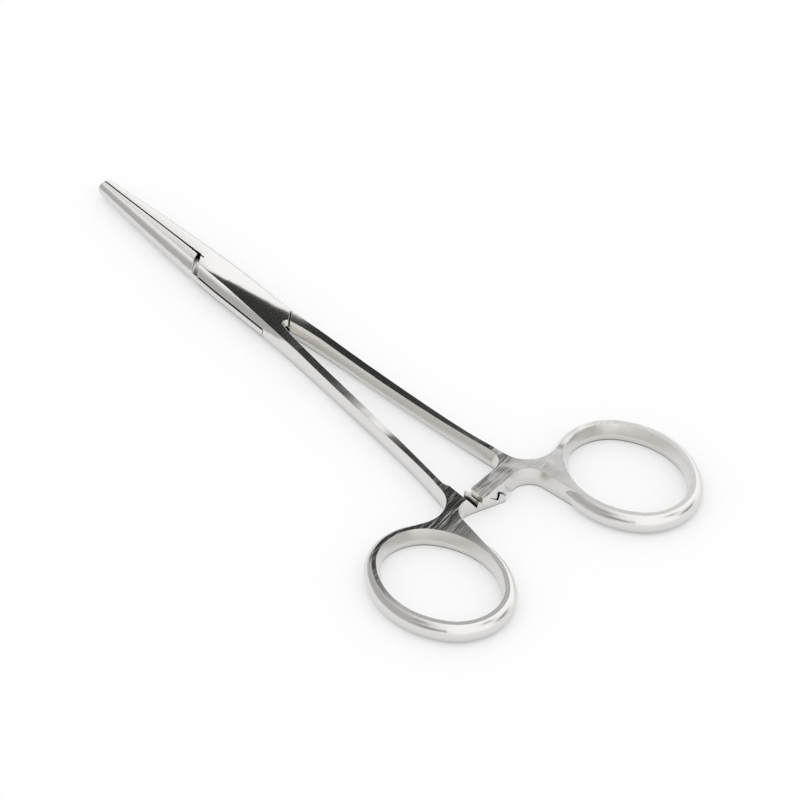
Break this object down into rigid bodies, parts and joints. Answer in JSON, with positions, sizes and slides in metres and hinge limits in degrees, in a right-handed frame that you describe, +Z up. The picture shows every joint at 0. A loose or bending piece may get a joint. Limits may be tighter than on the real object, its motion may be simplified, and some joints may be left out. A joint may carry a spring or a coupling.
{
  "type": "hemostat forceps",
  "caption": "Straight box-lock haemostatic forceps with serrated jaws, ratchet racks and finger rings, hinged at a flush rivet.",
  "frame": {"origin": "on the pivot axis, in the plane of the table that the closed forceps lie on", "axes": "+Z up along the pivot axis, +X along the instrument towards the finger rings, +Y towards the male half's ring"},
  "size_m": [0.1406, 0.0686, 0.004],
  "materials": {
    "stainless_steel": "satin polished"
  },
  "bodies": {
    "female": {"female_half": "stainless_steel", "pivot_pin": "stainless_steel"},
    "male": {"male_half": "stainless_steel"}
  },
  "joints": [
    {"name": "box_lock_pivot", "type": "hinge", "parent": "female", "child": "male", "pos_m": [0, 0, 0.002], "axis": [0, 0, 1], "range_deg": [0, 50]}
  ]
}
